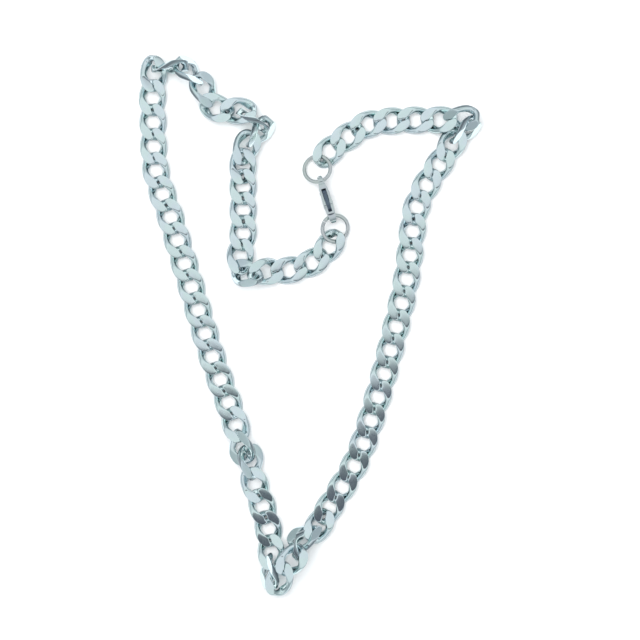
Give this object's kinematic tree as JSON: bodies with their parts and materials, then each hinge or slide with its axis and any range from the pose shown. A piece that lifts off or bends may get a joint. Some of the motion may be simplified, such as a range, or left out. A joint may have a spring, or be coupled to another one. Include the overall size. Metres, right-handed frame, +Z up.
{
  "type": "curb chain necklace",
  "caption": "Polished steel curb chain necklace lying flat in folds, closed by a lobster clasp between jump rings.",
  "frame": {"origin": "middle of the necklace's outline, on the surface it lies on", "axes": "+Y along the long way of the laid out necklace, from the bottom tip to the folded top, +X to the right, +Z up off the surface"},
  "size_m": [0.1151, 0.1818, 0.0116],
  "materials": {
    "link_steel": "polished",
    "ring_steel": "polished",
    "clasp_steel": "polished",
    "lever_steel": "polished"
  },
  "bodies": {
    "necklace": {"chain_right": "link_steel", "chain_left": "link_steel", "jump_ring_upper": "ring_steel", "jump_ring_lower": "ring_steel", "clasp_body": "clasp_steel"},
    "lever": {"clasp_lever": "lever_steel"}
  },
  "joints": [
    {"name": "lever_pivot", "type": "hinge", "parent": "necklace", "child": "lever", "pos_m": [0.00493, 0.04478, 0.0038], "axis": [0.9531, 0.3026, 0], "range_deg": [0, 22], "stiffness_Nm_per_rad": 0.004, "springref_deg": -17.19}
  ]
}
